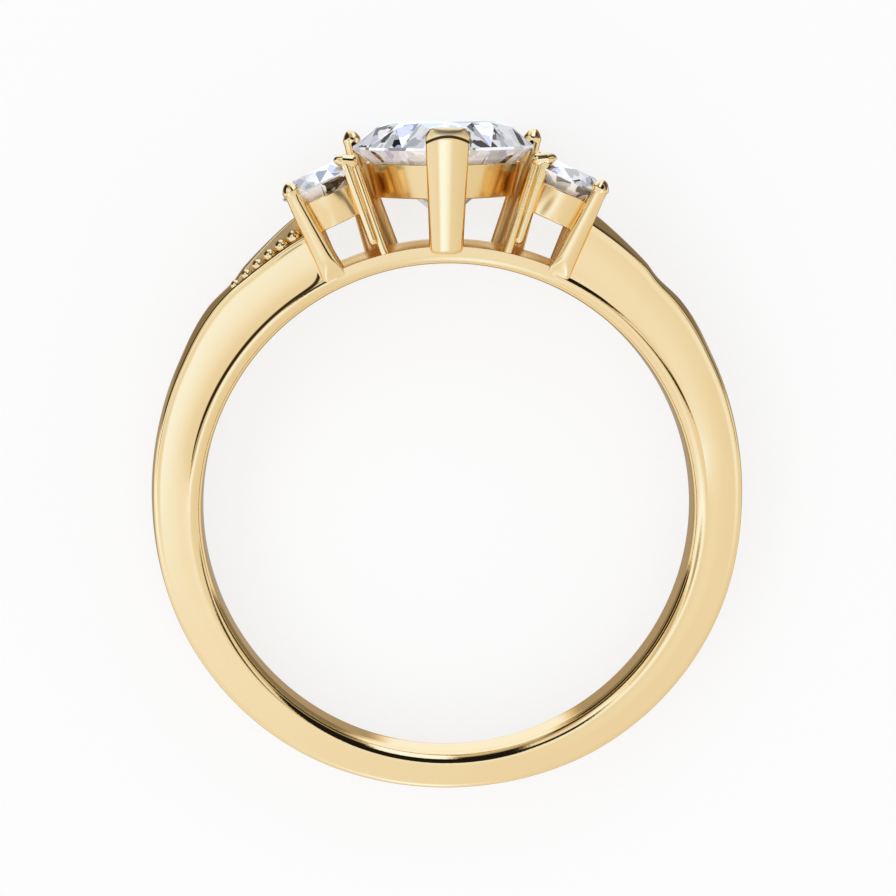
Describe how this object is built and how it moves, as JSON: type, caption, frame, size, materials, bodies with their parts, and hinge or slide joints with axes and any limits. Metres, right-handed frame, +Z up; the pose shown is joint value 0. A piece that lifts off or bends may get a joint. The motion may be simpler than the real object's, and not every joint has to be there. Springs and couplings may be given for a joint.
{
  "type": "three-stone promise ring",
  "caption": "Finger ring with a heart-cut stone between two round stones, in a pronged head on a tapering band with beaded shoulders.",
  "frame": {"origin": "middle of the footprint, on the surface that the ring lies on", "axes": "+Z up from the surface, +Y from the bottom of the band to the stones, +X to the right as seen from above"},
  "size_m": [0.0208, 0.0236, 0.0064],
  "materials": {
    "yellow_gold": "mirror-polished yellow gold",
    "heart_stone": "polished clear facets",
    "side_stones": "polished clear facets"
  },
  "bodies": {
    "root": {"gold_mount": "yellow_gold", "heart_stone": "heart_stone", "left_stone": "side_stones", "right_stone": "side_stones"}
  },
  "joints": []
}
